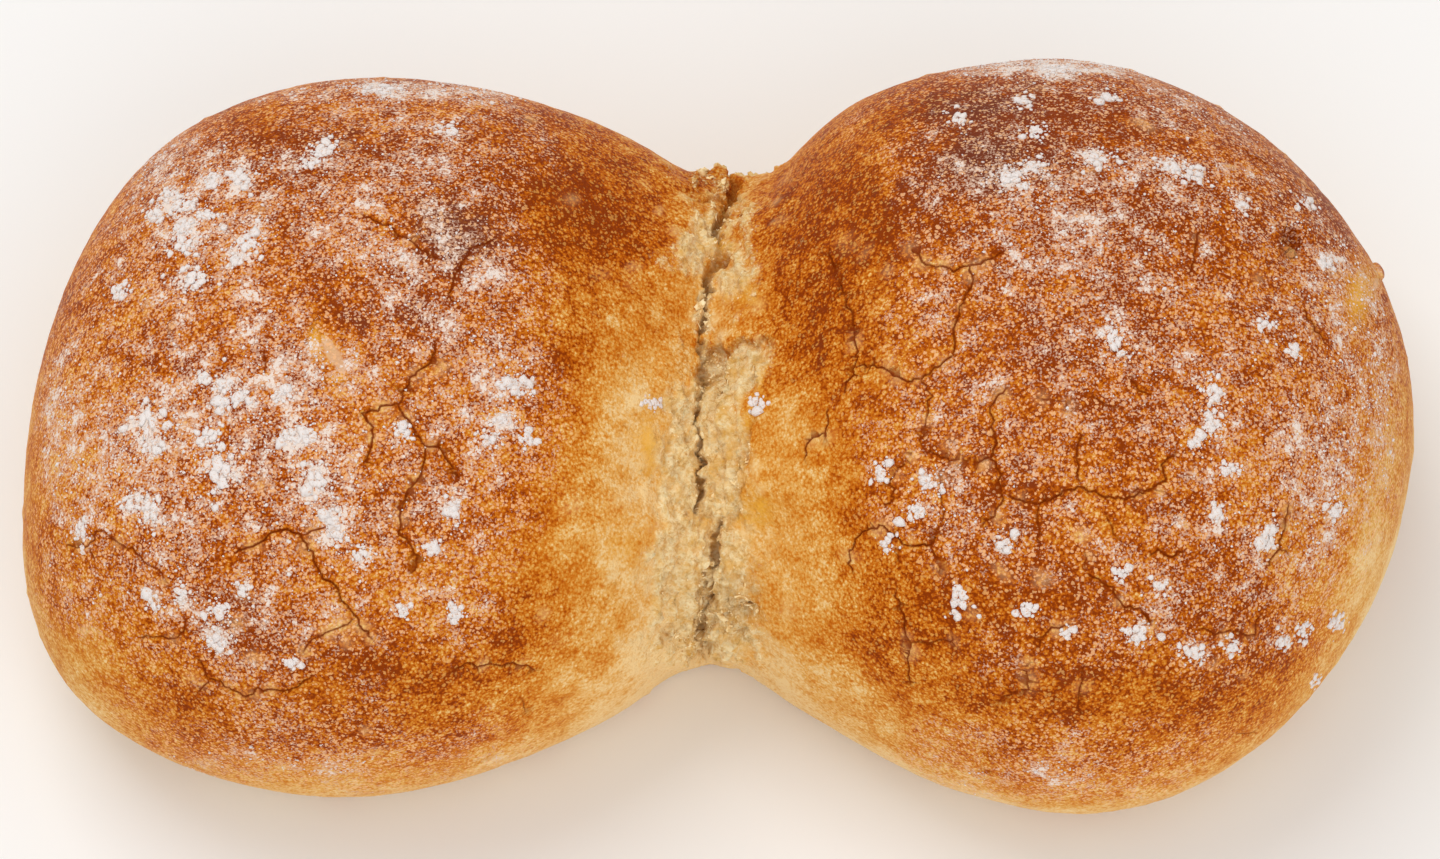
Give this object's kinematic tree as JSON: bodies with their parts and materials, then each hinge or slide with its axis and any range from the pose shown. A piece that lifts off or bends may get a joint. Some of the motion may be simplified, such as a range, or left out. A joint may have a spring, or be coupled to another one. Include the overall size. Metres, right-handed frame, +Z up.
{
  "type": "double bread roll",
  "caption": "Two round wheat rolls baked together side by side, with a flour-dusted, crackled brown crust and a torn pale seam at the neck.",
  "frame": {"origin": "middle of the flat underside", "axes": "+X along the length, from the flatter roll through the neck to the rounder one; +Y to the far side; +Z up"},
  "size_m": [0.1744, 0.0984, 0.0561],
  "materials": {
    "crust": "matte, mottled brown bread crust"
  },
  "bodies": {
    "root": {"bread_roll": "crust"}
  },
  "joints": []
}
